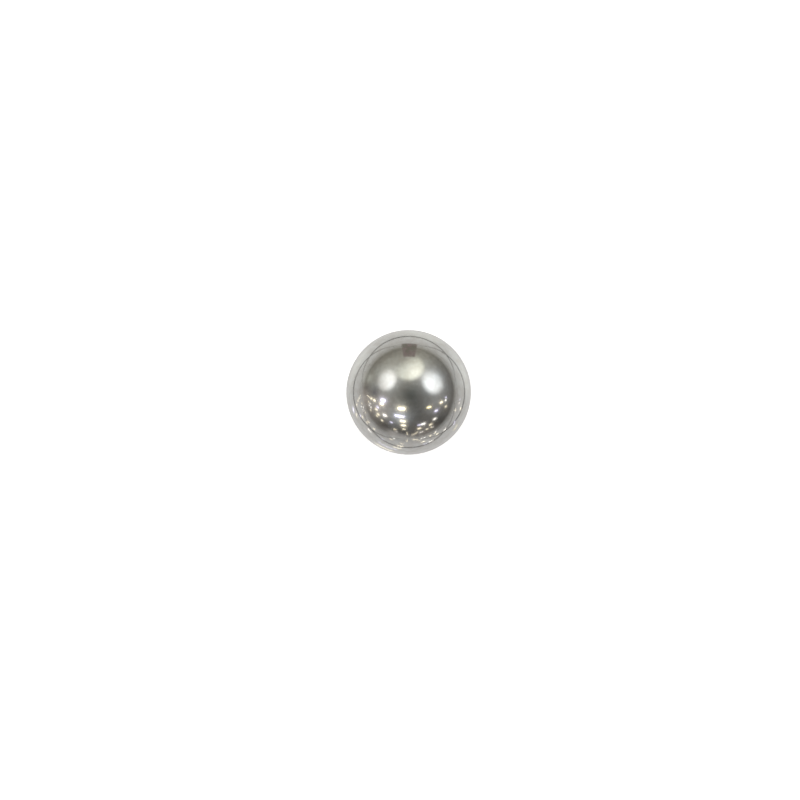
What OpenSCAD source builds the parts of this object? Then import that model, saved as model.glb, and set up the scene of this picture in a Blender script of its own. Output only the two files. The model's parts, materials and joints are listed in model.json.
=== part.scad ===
// Steel ball: one solid sphere of hardened steel, ground and polished all over.
// The origin is the centre of the ball, and +Z points up.

/* [Ball] */
// Diameter of the ball
ball_d = 25; // [10:0.5:50]
// Colour of the bare polished steel
steel_colour = "silver"; // [silver, lightsteelblue, darkgray]

/* [Smoothness] */
// Facets in a full turn
facets = 128; // [24:8:256]

/* [Hidden] */
// Radius of the ball
ball_r = ball_d / 2;

// A true sphere with no flat, hole, seam or mark
module ball() {
    color(steel_colour)
        sphere(r = ball_r, $fn = facets);
}

ball();
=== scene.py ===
"""Looks of the polished steel ball.

The ball is a mirror, so most of what shows on it is its surroundings: a pale tiled floor
with a small block, three soft lamps before a grey wall on one side, and a dim hall with rows
of small ceiling lights on the other. The camera sees only the ball on a plain white floor.
"""

import json
import math

import bmesh
import bpy
from mathutils import Matrix, Vector


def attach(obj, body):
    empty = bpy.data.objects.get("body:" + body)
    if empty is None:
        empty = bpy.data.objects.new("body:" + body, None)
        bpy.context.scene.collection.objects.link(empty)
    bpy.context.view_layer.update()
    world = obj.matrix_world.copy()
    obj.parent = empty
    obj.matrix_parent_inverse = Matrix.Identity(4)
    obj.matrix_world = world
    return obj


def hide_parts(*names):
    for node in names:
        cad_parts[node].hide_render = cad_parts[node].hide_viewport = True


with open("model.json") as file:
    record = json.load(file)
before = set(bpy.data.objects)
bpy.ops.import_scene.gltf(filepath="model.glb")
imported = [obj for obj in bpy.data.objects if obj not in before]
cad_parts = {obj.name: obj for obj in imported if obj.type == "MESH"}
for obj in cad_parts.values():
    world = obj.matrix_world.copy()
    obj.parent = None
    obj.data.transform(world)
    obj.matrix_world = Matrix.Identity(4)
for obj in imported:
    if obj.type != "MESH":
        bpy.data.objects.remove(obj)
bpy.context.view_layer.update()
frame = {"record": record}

# ---------------------------------------------------------------- sizes from the frame
# The seat is the ball's lowest point, and its axis points out of the ball
SEAT = frame["record"]["mounts"][0]
RADIUS = SEAT["dims"]["r_mm"] / 1000
CENTRE = Vector(SEAT["pos_m"]) - Vector(SEAT["axis"]) * RADIUS
FLOOR_Z = CENTRE.z - RADIUS
# Mirrors a stage piece in the floor
FLOOR_MIRROR = Matrix.Translation((0, 0, 2 * FLOOR_Z)) @ Matrix.Scale(-1, 4, (0, 0, 1))

# ---------------------------------------------------------------- the ball's own values
# Squares along each edge of the cube that is swelled into the sphere
BALL_SQUARES = 128
# Each side of that cube has its own place in the UV map, and this share of it is a margin
BAKE_MARGIN = 0.02

# Patterns are laid out as if the ball's radius were 1. A span is the stretch of a noise's
# values over which its pattern goes from none to full: the higher it lies, the rarer it is.
STEEL_BRIGHT = (0.602, 0.606, 0.592, 1.0)
STEEL_DULL = (0.553, 0.543, 0.521, 1.0)
CLOUD_SCALE = 9.0
CLOUD_COLOUR_SPAN = (0.3, 0.7)
CLOUD_ROUGHNESS_SPAN = (0.35, 0.7)
# Roughness in the dull and in the bright clouds
CLOUD_ROUGHNESS = (0.1, 0.07)
# The grain and the hairlines add to it
GRAIN_SCALE = 240.0
GRAIN_SPAN = (0.53, 0.61)
GRAIN_ROUGHNESS = 0.06
# Turns in radians, one for each way that hairlines run, and how far a noise is squeezed
# along and across that way to draw them
HAIRLINE_TURNS = ((0.3, 0.9, 0.2), (1.3, 0.4, 2.0), (2.2, 1.7, 0.8))
HAIRLINE_SQUEEZE = (1.2, 90.0, 90.0)
HAIRLINE_SPAN = (0.68, 0.74)
HAIRLINE_ROUGHNESS = 0.1
HAIRLINE_DEPTH_M = 0.3e-6

# ---------------------------------------------------------------- the stage's values
# Lengths are in ball radii until they are used, and places are counted from the ball's
# centre. Levels are the strengths of glowing surfaces, where 1 is white.
CAMERA_PLACE = (-0.138, -0.1223, 27.0)
CAMERA_LENS_MM = 75.75
CAMERA_SENSOR_MM = 36.0

# The dome lies past the farthest ceiling light
DOME_RADIUS = 260
LAMP_DISTANCE = 36
CEILING_HEIGHT = 20

# The floor as the steel sees it: square glazed tiles, one of them under the ball
TILE_SIDE = 6.15
TILE_MIDDLE = (-0.12, -0.12)
# A joint is darkest along its middle and fades out at this half width
JOINT_HALF_WIDTH = 0.27
TILE_LEVEL = 0.76
TILE_COLOUR = (1.015, 1.0, 0.985, 1.0)
JOINT_COLOUR = (0.05, 0.045, 0.04, 1.0)
# The power by which the ball's shade on the tiles fades
SHADE_POWER = -2.5
GLAZE_IOR = 1.7
# The floor as the camera sees it: pale, with some light of its own
FLOOR_COLOUR = (0.85, 0.85, 0.85, 1.0)
FLOOR_LEVEL = 0.68
# The world's level for plain surfaces
WORLD_LEVEL = 0.3

WHITE = (1.0, 1.0, 1.0, 1.0)
# Tints of the surroundings
NEUTRAL = (1.03, 1.0, 0.97)
YELLOWISH = (1.03, 1.0, 0.84)
ROSY = (1.08, 1.0, 0.94)
BLUISH = (0.93, 1.0, 1.07)
GREENISH = (0.94, 1.0, 0.88)

# Soft glows on the walls: azimuth, elevation and spread in degrees, level and tint. A level
# below 0 makes a dim place.
GLOWS = (
    (28, 40, 16, 0.84, BLUISH),
    (76, 51, 13, 0.45, NEUTRAL),
    (148, 46, 14, 0.74, BLUISH),
    (75, 27, 32, 0.35, YELLOWISH),
    (-13, 28, 28, 0.2, NEUTRAL),
    (134, 35, 31, 0.38, YELLOWISH),
    (252, 42, 12, 0.6, BLUISH),
    (238, 61, 10, 0.22, YELLOWISH),
    (300, 85, 15, -0.09, ROSY),
    (205, 30, 22, 0.45, ROSY),
    (188, -1, 12, 0.27, ROSY),
    (161, 8, 8, 0.28, GREENISH),
    (180, 26, 8, -0.23, YELLOWISH),
    (172, 8, 6, -0.1, YELLOWISH),
    (326, 37, 10, 0.15, NEUTRAL),
    (248, 4, 6, 0.17, NEUTRAL),
    (232, 10, 10, -0.08, NEUTRAL),
    (318, 8, 10, -0.06, NEUTRAL),
    (292, 9, 15, 0.17, ROSY),
)
# The even level that the glows add to
HALL_LEVEL = 0.02
# Heights on the dome go from 0 at the horizon to 1 overhead, and the surroundings are a
# little rosier up to this one
HORIZON_HEIGHT = 0.35
HORIZON_TINT = (1.035, 1.0, 0.985, 1.0)
# The hall's far floor shows as a low light strip: azimuth, spread, level, and the heights
# at which it starts to fade and is gone
STRIP = (258, 18, 0.32, (0.05, 0.18))
# What stands about varies all of this a little
CLUTTER_SCALE = 14.0
CLUTTER_SPAN = (0.3, 0.7)
CLUTTER_LEVELS = (0.9, 1.1)

# Painted reflections: the wide haze that each lamp, and the hall's lights, leave in the floor's
# glaze, painted as glow on the dome's lower half: azimuth, elevation and level
GLAZE_REFLECTIONS = ((20, 47, 2.3), (78, 51, 1.5), (151, 48, 2.5), (268, 2, 0.1))
GLAZE_REFLECTION_SPREAD = 14
GLAZE_REFLECTION_TINT = GREENISH

# Round soft lamps: name, azimuth, elevation and angular radius in degrees, colour, level, the
# part of the radius at which the fade to the rim starts, and the gain to the right and up,
# as the ball sees it
LAMPS = (
    ("lamp_right", 24.7, 40.3, 25.4, (0.98, 1.0, 1.01, 1.0), 0.78, 0.44, (0.82, 0.93)),
    ("lamp_middle", 90.5, 42.6, 29.6, (0.98, 1.0, 0.84, 1.0), 0.42, 0.62, (1.35, 1.55)),
    ("lamp_left", 150.8, 43.4, 21.5, (1.02, 1.0, 0.98, 1.0), 0.6, 0.53, (0.0, 0.83)),
)

# Ceiling lights are short lines along X on the hall's ceiling, measured in ceiling heights.
# A row lies at a distance towards -Y, and its columns are one step apart.
COLUMN_START = -0.26
COLUMN_STEP = 1.08
LINE_HALF = 0.09
# How much the ceiling sinks towards +X
CEILING_TILT = 0.03
LIGHT_WARM = (1.0, 0.89, 0.66)
LIGHT_AMBER = (1.0, 0.84, 0.45)
LIGHT_PALE = (1.0, 0.96, 0.9)
LIGHT_COOL = (0.62, 0.6, 0.82)
# Each row's distance, colour, size and columns, which need not be whole
LIGHT_ROWS = (
    (0.36, LIGHT_COOL, 1.55, (-0.83,)),
    (0.38, LIGHT_COOL, 0.7, (2.85,)),
    (0.58, LIGHT_WARM, 1.1, (-3,)),
    (0.58, LIGHT_WARM, 0.95, (-2.05, -1, 1.98)),
    (0.58, LIGHT_WARM, 1.1, (0,)),
    (0.6, LIGHT_AMBER, 0.5, (1,)),
    (0.6, LIGHT_PALE, 0.73, (2.88,)),
    (1.01, LIGHT_COOL, 0.95, (-1.7, 1.65)),
    (1.01, LIGHT_COOL, 0.8, (-0.22,)),
    (1.01, LIGHT_COOL, 0.7, (-0.04,)),
    (1.4, LIGHT_WARM, 1.0, (-2.2, -0.02, 3.65)),
    (1.4, LIGHT_PALE, 1.1, (-1.1,)),
    (1.6, LIGHT_PALE, 0.8, (-4.8,)),
    (1.8, LIGHT_WARM, 1.0, (-6.9,)),
    (2.0, LIGHT_WARM, 1.05, (-2.3, -0.05)),
    (2.0, LIGHT_PALE, 1.0, (1.1, 2.05)),
    (2.0, LIGHT_COOL, 0.52, (-0.83, 0.85)),
    (2.4, LIGHT_PALE, 1.15, (-5.3,)),
    (2.8, LIGHT_PALE, 1.1, (-7.7,)),
    (3.0, LIGHT_WARM, 0.9, (-3.5, -2.4, 1.07)),
    (3.0, LIGHT_WARM, 0.65, (-0.12,)),
    (3.0, LIGHT_WARM, 1.0, (2.15,)),
    (4.2, LIGHT_WARM, 0.8, (-1.2,)),
    (4.6, LIGHT_WARM, 1.2, (-8.8,)),
    (5.1, LIGHT_WARM, 0.9, (2.6,)),
    (5.1, LIGHT_WARM, 0.75, (3.3,)),
    (6.4, LIGHT_PALE, 0.75, (-1.6, 2.3, 4.4)),
    (7.0, LIGHT_PALE, 0.75, (2.1,)),
)
# Rows seen end on run together: the two ends of each, and its size
LIGHT_STREAKS = (
    ((-4.0, 0.6), (-9.0, 0.6), 0.28),
    ((-0.2, 4.5), (-0.3, 10.0), 0.25),
    ((1.15, 5.0), (1.0, 12.0), 0.45),
)
# A light reaches REACH_FAR degrees past its line, and REACH_NEAR over its distance more
REACH_FAR = 3.5
REACH_NEAR = 6.0
# The power of the distance by which lights grow dimmer
LIGHT_FADE = 0.75
# The halo's level at the line and the power by which it fades, and the power for the core
HALO_LEVEL = 0.85
HALO_POWER = 1.5
CORE_POWER = 2.0
# The core's level and the part of the reach it fills, seen straight and in the floor
LIGHT_CORE = (11.0, 0.42)
LIGHT_IMAGE_CORE = (60.0, 0.23)

# The block's size, where it stands, and the colours of its patches, which it glows with as painted
# light
BLOCK_SIZE = (2.95, 1.0, 5.2)
BLOCK_PLACE = (0.15, 9.6)
BLOCK_OLIVE = (0.24, 0.23, 0.19, 1.0)
BLOCK_ROSY = (0.3, 0.245, 0.23, 1.0)
BLOCK_PATCH_SCALE = 3.0
BLOCK_PATCH_SPAN = (0.35, 0.55)


# ---------------------------------------------------------------- small helpers
def direction(azimuth, elevation):
    """Unit vector at an azimuth, counted from +X towards +Y, and an elevation, in degrees."""
    turn = math.radians(azimuth)
    rise = math.radians(elevation)
    level = math.cos(rise)
    return Vector((math.cos(turn) * level, math.sin(turn) * level, math.sin(rise)))


def link_mesh(name, bm):
    """Turns a bmesh into an object in the scene."""
    mesh = bpy.data.meshes.new(name)
    bm.to_mesh(mesh)
    bm.free()
    obj = bpy.data.objects.new(name, mesh)
    bpy.context.scene.collection.objects.link(obj)
    return obj


class Tree:
    """A material's or the world's node tree, with short calls that add and join nodes."""

    def __init__(self, owner):
        owner.use_nodes = True
        self.tree = owner.node_tree
        self.tree.nodes.clear()

    def put(self, socket, value):
        """Joins a socket to another node's output, or sets its plain value."""
        if isinstance(value, bpy.types.NodeSocket):
            self.tree.links.new(value, socket)
        else:
            socket.default_value = value

    def add(self, kind, *values, **named):
        """Adds a node. Values fill its inputs in order; named ones use _ for a space."""
        made = self.tree.nodes.new(kind)
        for socket, value in zip(made.inputs, values):
            self.put(socket, value)
        for name, value in named.items():
            self.put(made.inputs[name.replace("_", " ")], value)
        return made

    def number(self, operation, *values):
        """A Math node's result."""
        made = self.add("ShaderNodeMath", *values)
        made.operation = operation
        return made.outputs[0]

    def vector(self, operation, *values):
        """A Vector Math node's result, a number where the operation gives one."""
        made = self.add("ShaderNodeVectorMath", *values)
        made.operation = operation
        return next(out for out in made.outputs if out.enabled)

    def ease(self, value, low, high, to_low=0.0, to_high=1.0):
        """As value goes from low to high, eases from to_low to to_high."""
        made = self.add("ShaderNodeMapRange", Value=value, From_Min=low, From_Max=high,
                        To_Min=to_low, To_Max=to_high)
        made.interpolation_type = "SMOOTHSTEP"
        return made.outputs["Result"]

    def blend(self, factor, first, second):
        """A mix of two colours."""
        made = self.tree.nodes.new("ShaderNodeMix")
        made.data_type = "RGBA"
        for name, value in (("Factor_Float", factor), ("A_Color", first), ("B_Color", second)):
            self.put(next(s for s in made.inputs if s.identifier == name), value)
        return next(s for s in made.outputs if s.identifier == "Result_Color")

    def noise(self, vector, scale, detail):
        """Smooth noise that varies round 0.5."""
        made = self.add("ShaderNodeTexNoise", Vector=vector, Scale=scale, Detail=detail)
        return made.outputs["Fac"]

    def place(self):
        """Object coordinates."""
        return self.add("ShaderNodeTexCoord").outputs["Object"]

    def peak(self, way, azimuth, elevation, spread):
        """A soft peak, 1 where a unit vector points at a place and 1/4 at about 1.4 spreads."""
        towards = self.vector("DOT_PRODUCT", way, direction(azimuth, elevation))
        sharpness = math.radians(spread) ** -2
        off = self.number("MULTIPLY_ADD", towards, -sharpness, 1 + sharpness)
        return self.number("POWER", off, -2.0)

    def shine(self, colour, level):
        """An Emission shader."""
        return self.add("ShaderNodeEmission", colour, level).outputs[0]

    def over(self, first, second):
        """Two shaders added up."""
        return self.add("ShaderNodeAddShader", first, second).outputs[0]

    def clear(self):
        """A shader that lets everything through."""
        return self.add("ShaderNodeBsdfTransparent").outputs[0]

    def finish(self, shader, kind="ShaderNodeOutputMaterial"):
        """Joins a shader to the tree's output."""
        self.add(kind, Surface=shader)


def new_material(name):
    """An empty material and its node tree."""
    made = bpy.data.materials.new(name)
    return made, Tree(made)


# ---------------------------------------------------------------- the ball
def hairlines(tree, place, turn):
    """A mask of long thin scratches that run roughly along one way, 1 on a scratch."""
    made = tree.add("ShaderNodeVectorRotate", Vector=place)
    made.rotation_type = "EULER_XYZ"
    tree.put(made.inputs["Rotation"], turn)
    squeezed = tree.vector("MULTIPLY", made.outputs[0], HAIRLINE_SQUEEZE)
    return tree.ease(tree.noise(squeezed, 1.0, detail=2), *HAIRLINE_SPAN)


def steel_material():
    """Bare hardened steel lapped to a mirror, with a little haze and the hairlines of use."""
    made, tree = new_material("polished_steel")
    place = tree.vector("MULTIPLY", tree.place(), (1 / RADIUS,) * 3)
    clouds = tree.noise(place, CLOUD_SCALE, detail=4)
    grain = tree.ease(tree.noise(place, GRAIN_SCALE, detail=0), *GRAIN_SPAN)
    lines = 0.0
    for turn in HAIRLINE_TURNS:
        lines = tree.number("MAXIMUM", lines, hairlines(tree, place, turn))
    colour = tree.blend(tree.ease(clouds, *CLOUD_COLOUR_SPAN), STEEL_DULL, STEEL_BRIGHT)
    rough = tree.ease(clouds, *CLOUD_ROUGHNESS_SPAN, *CLOUD_ROUGHNESS)
    rough = tree.number("ADD", rough, tree.number("MULTIPLY", grain, GRAIN_ROUGHNESS))
    rough = tree.number("ADD", rough, tree.number("MULTIPLY", lines, HAIRLINE_ROUGHNESS))
    bump = tree.add("ShaderNodeBump", Strength=1.0, Distance=HAIRLINE_DEPTH_M, Height=lines)
    bump.invert = True
    shader = tree.add("ShaderNodeBsdfPrincipled", Base_Color=colour, Metallic=1.0,
                      Roughness=rough, Normal=bump.outputs[0])
    tree.finish(shader.outputs["BSDF"])
    return made


def build_ball():
    """A cube cut into squares and swelled into a true sphere, so that no pole shows."""
    bm = bmesh.new()
    bmesh.ops.create_cube(bm, size=2.0)
    bmesh.ops.subdivide_edges(bm, edges=bm.edges[:], cuts=BALL_SQUARES - 1, use_grid_fill=True)
    # The map has a column for each axis of the cube, and a row for each side of it
    uv = bm.loops.layers.uv.new("OFBake")
    for face in bm.faces:
        middle = face.calc_center_median()
        column = max(range(3), key=lambda i: abs(middle[i]))
        row = 1 if middle[column] > 0 else 0
        across, up = [i for i in range(3) if i != column]
        for loop in face.loops:
            u = BAKE_MARGIN + (loop.vert.co[across] + 1) / 2 * (1 - 2 * BAKE_MARGIN)
            v = BAKE_MARGIN + (loop.vert.co[up] + 1) / 2 * (1 - 2 * BAKE_MARGIN)
            loop[uv].uv = ((column + u) / 3, (row + v) / 2)
        face.smooth = True
    # The tangent keeps the squares even in size all over the sphere
    for vert in bm.verts:
        swelled = Vector([math.tan(x * math.pi / 4) for x in vert.co])
        vert.co = CENTRE + swelled.normalized() * RADIUS
    ball = link_mesh("polished_ball", bm)
    # Normals of a true sphere, so that no facet shows in what it mirrors
    radial = [(vert.co - CENTRE).normalized() for vert in ball.data.vertices]
    ball.data.normals_split_custom_set_from_vertices(radial)
    ball.data.materials.append(steel_material())
    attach(ball, "root")
    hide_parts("ball")


# ---------------------------------------------------------------- the stage
def steel_only(obj, material, image_material=None):
    """Only the steel sees this stage piece, and its mirror image in the floor's glaze.

    The image is an upside-down copy below the floor. It shows through the glaze and gives
    plain surfaces no light.
    """
    obj.data.materials.append(material)
    image = obj.copy()
    if image_material:
        image.material_slots[0].link = "OBJECT"
        image.material_slots[0].material = image_material
    image.name = obj.name + "_image"
    image.matrix_world = FLOOR_MIRROR @ obj.matrix_basis
    bpy.context.scene.collection.objects.link(image)
    image.visible_diffuse = False
    for piece in (obj, image):
        piece.visible_camera = False


def tile_colour(tree, place):
    """Square tiles with dark joints."""
    joint = 0.0
    for axis, middle in zip(tree.add("ShaderNodeSeparateXYZ", place).outputs, TILE_MIDDLE):
        # Tile sides from one joint, and from there how far off the nearest joint is
        start = (middle - TILE_SIDE / 2) / TILE_SIDE
        steps = tree.number("SUBTRACT", tree.number("DIVIDE", axis, TILE_SIDE * RADIUS), start)
        off = tree.number("PINGPONG", steps, 0.5)
        line = tree.ease(off, 0.0, JOINT_HALF_WIDTH / TILE_SIDE, 1.0, 0.0)
        joint = tree.number("MAXIMUM", joint, line)
    return tree.blend(joint, TILE_COLOUR, JOINT_COLOUR)


def floor_material():
    """Plain white with the ball's shadow to the camera, pale glazed tiles to the steel.

    The steel sees only glowing surfaces, so what it mirrors is free of noise: the tiles
    glow, and their glaze shows the stage's mirror image from below.
    """
    made, tree = new_material("floor")
    place = tree.place()
    # The share of the light that the ball keeps off the floor fades out over about a radius
    away = tree.number("DIVIDE", tree.vector("LENGTH", place), RADIUS)
    hidden = tree.number("POWER", tree.number("MULTIPLY_ADD", away, away, 1.0), SHADE_POWER)
    level = tree.number("MULTIPLY_ADD", hidden, -TILE_LEVEL, TILE_LEVEL)
    tiles = tree.shine(tile_colour(tree, place), level)
    glaze = tree.add("ShaderNodeFresnel", IOR=GLAZE_IOR).outputs[0]
    glazed = tree.add("ShaderNodeMixShader", glaze, tiles, tree.clear()).outputs[0]
    plain = tree.add("ShaderNodeBsdfDiffuse", Color=FLOOR_COLOUR)
    white = tree.over(plain.outputs[0], tree.shine(WHITE, FLOOR_LEVEL))
    seen = tree.add("ShaderNodeLightPath").outputs["Is Camera Ray"]
    tree.finish(tree.add("ShaderNodeMixShader", seen, glazed, white).outputs[0])
    # So large and even a surface needs no sampling as a lamp
    made.cycles.emission_sampling = "NONE"
    return made


def build_floor():
    """A round floor out to the dome."""
    bm = bmesh.new()
    bmesh.ops.create_circle(bm, cap_ends=True, radius=DOME_RADIUS * RADIUS, segments=64)
    floor = link_mesh("floor", bm)
    floor.location = (CENTRE.x, CENTRE.y, FLOOR_Z)
    floor.data.materials.append(floor_material())


def dome_material():
    """Grey studio wall towards +Y, dim hall towards -Y, and the same upside down below."""
    made, tree = new_material("surroundings")
    x, y, z = tree.add("ShaderNodeSeparateXYZ", tree.vector("NORMALIZE", tree.place())).outputs
    height = tree.number("ABSOLUTE", z)
    way = tree.add("ShaderNodeCombineXYZ", x, y, height).outputs[0]
    total = [HALL_LEVEL * part for part in NEUTRAL]
    for azimuth, elevation, spread, level, tint in GLOWS:
        light = [level * part for part in tint]
        total = tree.vector("MULTIPLY_ADD", light, tree.peak(way, azimuth, elevation, spread), total)
    # The haze is a painted reflection in the glaze, so it lies only on the lower half
    below = tree.number("LESS_THAN", z, 0.0)
    for azimuth, elevation, level in GLAZE_REFLECTIONS:
        haze = tree.number("MULTIPLY", tree.peak(way, azimuth, elevation, GLAZE_REFLECTION_SPREAD), below)
        total = tree.vector("MULTIPLY_ADD", [level * part for part in GLAZE_REFLECTION_TINT], haze, total)
    azimuth, spread, level, (full, gone) = STRIP
    low = tree.ease(height, full, gone, level, 0.0)
    total = tree.vector("ADD", total, tree.number("MULTIPLY", tree.peak(way, azimuth, 0, spread), low))
    tint = tree.blend(tree.ease(height, 0.0, HORIZON_HEIGHT), HORIZON_TINT, WHITE)
    total = tree.vector("MULTIPLY", total, tint)
    clutter = tree.ease(tree.noise(way, CLUTTER_SCALE, detail=3), *CLUTTER_SPAN, *CLUTTER_LEVELS)
    tree.finish(tree.shine(total, clutter))
    # As with the floor
    made.cycles.emission_sampling = "NONE"
    return made


def build_dome():
    """All that surrounds the ball. The steel sees it, and it lights plain surfaces."""
    bm = bmesh.new()
    bmesh.ops.create_icosphere(bm, subdivisions=5, radius=DOME_RADIUS * RADIUS)
    dome = link_mesh("surroundings", bm)
    dome.location = CENTRE
    dome.data.materials.append(dome_material())
    dome.visible_camera = False


def lamp_material(name, colour, level, inner, lean):
    """A disc that fades from inner to its rim, and is brighter to the right and up by lean."""
    made, tree = new_material(name)
    place = tree.place()
    edge = tree.ease(tree.vector("LENGTH", place), inner, 1.0, level, 0.0)
    slope = tree.number("ADD", tree.vector("DOT_PRODUCT", place, (*lean, 0.0)), 1.0)
    bright = tree.number("MULTIPLY", edge, tree.number("MAXIMUM", slope, 0.0))
    tree.finish(tree.over(tree.shine(colour, bright), tree.clear()))
    return made


def build_lamp(name, azimuth, elevation, spread, colour, level, inner, lean):
    """A round soft lamp that faces the ball, spread degrees in angular radius."""
    bm = bmesh.new()
    bmesh.ops.create_circle(bm, cap_ends=True, radius=1.0, segments=64)
    lamp = link_mesh(name, bm)
    way = direction(azimuth, elevation)
    lamp.location = CENTRE + way * LAMP_DISTANCE * RADIUS
    lamp.rotation_mode = "QUATERNION"
    lamp.rotation_quaternion = (-way).to_track_quat("Z", "Y")
    lamp.scale = [LAMP_DISTANCE * RADIUS * math.tan(math.radians(spread))] * 3
    steel_only(lamp, lamp_material(name, colour, level, inner, lean))


def light_material(name, level, part):
    """A core that fills a part of a light's reach, and a soft halo that fills all of it."""
    made, tree = new_material(name)
    away = tree.vector("LENGTH", tree.add("ShaderNodeTexCoord").outputs["UV"])
    core = tree.number("MAXIMUM", tree.number("MULTIPLY_ADD", away, -1 / part, 1.0), 0.0)
    halo = tree.number("MAXIMUM", tree.number("SUBTRACT", 1.0, away), 0.0)
    bright = tree.number("MULTIPLY", tree.number("POWER", core, CORE_POWER), level)
    bright = tree.number("MULTIPLY_ADD", tree.number("POWER", halo, HALO_POWER), HALO_LEVEL, bright)
    colour = tree.add("ShaderNodeVertexColor")
    colour.layer_name = "light"
    tree.finish(tree.over(tree.shine(colour.outputs["Color"], bright), tree.clear()))
    return made


def add_light(bm, start, end, colour, size):
    """A strip facing the ball along a line between two ceiling places.

    Its UV is 0 on the line and grows to 1 at the light's reach, past the ends and sideways.
    """
    start, end = [Vector((x, -row, 1 - CEILING_TILT * x)) for x, row in (start, end)]
    distance = min(start.length, end.length)
    towards = (start.normalized() + end.normalized()).normalized()
    # Both ends are brought onto the plane one unit off that faces the ball
    start, end = [place / place.dot(towards) for place in (start, end)]
    along = (end - start).normalized()
    across = towards.cross(along)
    reach = math.tan(math.radians(REACH_FAR + REACH_NEAR / distance)) * size
    bright = [part * distance ** -LIGHT_FADE for part in colour]
    # Where the strip has corners: at the line's two ends, and one reach past them
    stations = ((start - along * reach, -1.0), (start, 0.0), (end, 0.0), (end + along * reach, 1.0))
    strip = []
    for place, past in stations:
        for side in (-1, 1):
            corner = (place + across * reach * side) * distance * CEILING_HEIGHT * RADIUS
            strip.append((bm.verts.new(corner), (past, side)))
    uv = bm.loops.layers.uv.verify()
    tint = bm.loops.layers.float_color.get("light") or bm.loops.layers.float_color.new("light")
    for i in range(0, len(strip) - 2, 2):
        corners = [strip[i], strip[i + 1], strip[i + 3], strip[i + 2]]
        face = bm.faces.new([vert for vert, _ in corners])
        for loop, (_, spot) in zip(face.loops, corners):
            loop[uv].uv = spot
            loop[tint] = (*bright, 1.0)


def build_ceiling_lights():
    """Rows of soft lights on the hall's ceiling."""
    bm = bmesh.new()
    for row, colour, size, columns in LIGHT_ROWS:
        for column in columns:
            x = COLUMN_START + COLUMN_STEP * column
            add_light(bm, (x - LINE_HALF, row), (x + LINE_HALF, row), colour, size)
    for start, end, size in LIGHT_STREAKS:
        add_light(bm, start, end, LIGHT_WARM, size)
    lights = link_mesh("ceiling_lights", bm)
    lights.location = CENTRE
    steel_only(lights, light_material("ceiling_lights", *LIGHT_CORE),
               light_material("ceiling_lights_image", *LIGHT_IMAGE_CORE))


def block_material():
    """Brown card, rosy in some places and olive in others, that glows with its lit colour as painted
    light.
    """
    made, tree = new_material("brown_block")
    patches = tree.ease(tree.noise(tree.place(), BLOCK_PATCH_SCALE, detail=2), *BLOCK_PATCH_SPAN)
    # Painted light: the card is no lamp, but glows with the colour it shows when lit
    tree.finish(tree.shine(tree.blend(patches, BLOCK_OLIVE, BLOCK_ROSY), 1.0))
    return made


def build_block():
    """A small brown block on the floor beyond the ball."""
    bm = bmesh.new()
    bmesh.ops.create_cube(bm, size=1.0)
    block = link_mesh("brown_block", bm)
    block.scale = Vector(BLOCK_SIZE) * RADIUS
    # It stands on the floor, which is one radius below the ball's centre
    height = BLOCK_SIZE[2] / 2 - 1
    block.location = CENTRE + Vector((*BLOCK_PLACE, height)) * RADIUS
    block.data.materials.append(block_material())
    block.visible_camera = False
    block.visible_diffuse = False
    block.visible_shadow = False


def build_world():
    """White to the camera and the steel, and a low even light to plain surfaces."""
    world = bpy.data.worlds.new("white")
    bpy.context.scene.world = world
    tree = Tree(world)
    path = tree.add("ShaderNodeLightPath").outputs
    seen = tree.number("MAXIMUM", path["Is Camera Ray"], path["Is Glossy Ray"])
    seen = tree.number("MAXIMUM", seen, path["Is Transmission Ray"])
    level = tree.ease(seen, 0.0, 1.0, WORLD_LEVEL, 1.0)
    tree.finish(tree.add("ShaderNodeBackground", WHITE, level).outputs[0], "ShaderNodeOutputWorld")


def build_camera():
    """Looks straight down from above the ball, a little off its middle."""
    data = bpy.data.cameras.new("camera")
    data.lens = CAMERA_LENS_MM
    data.sensor_width = CAMERA_SENSOR_MM
    data.clip_start = RADIUS
    camera = bpy.data.objects.new("camera", data)
    camera.location = CENTRE + Vector(CAMERA_PLACE) * RADIUS
    bpy.context.scene.collection.objects.link(camera)
    bpy.context.scene.camera = camera


build_camera()
build_ball()
build_floor()
build_dome()
for lamp in LAMPS:
    build_lamp(*lamp)
build_ceiling_lights()
build_block()
build_world()

bpy.context.scene.view_settings.view_transform = "Standard"
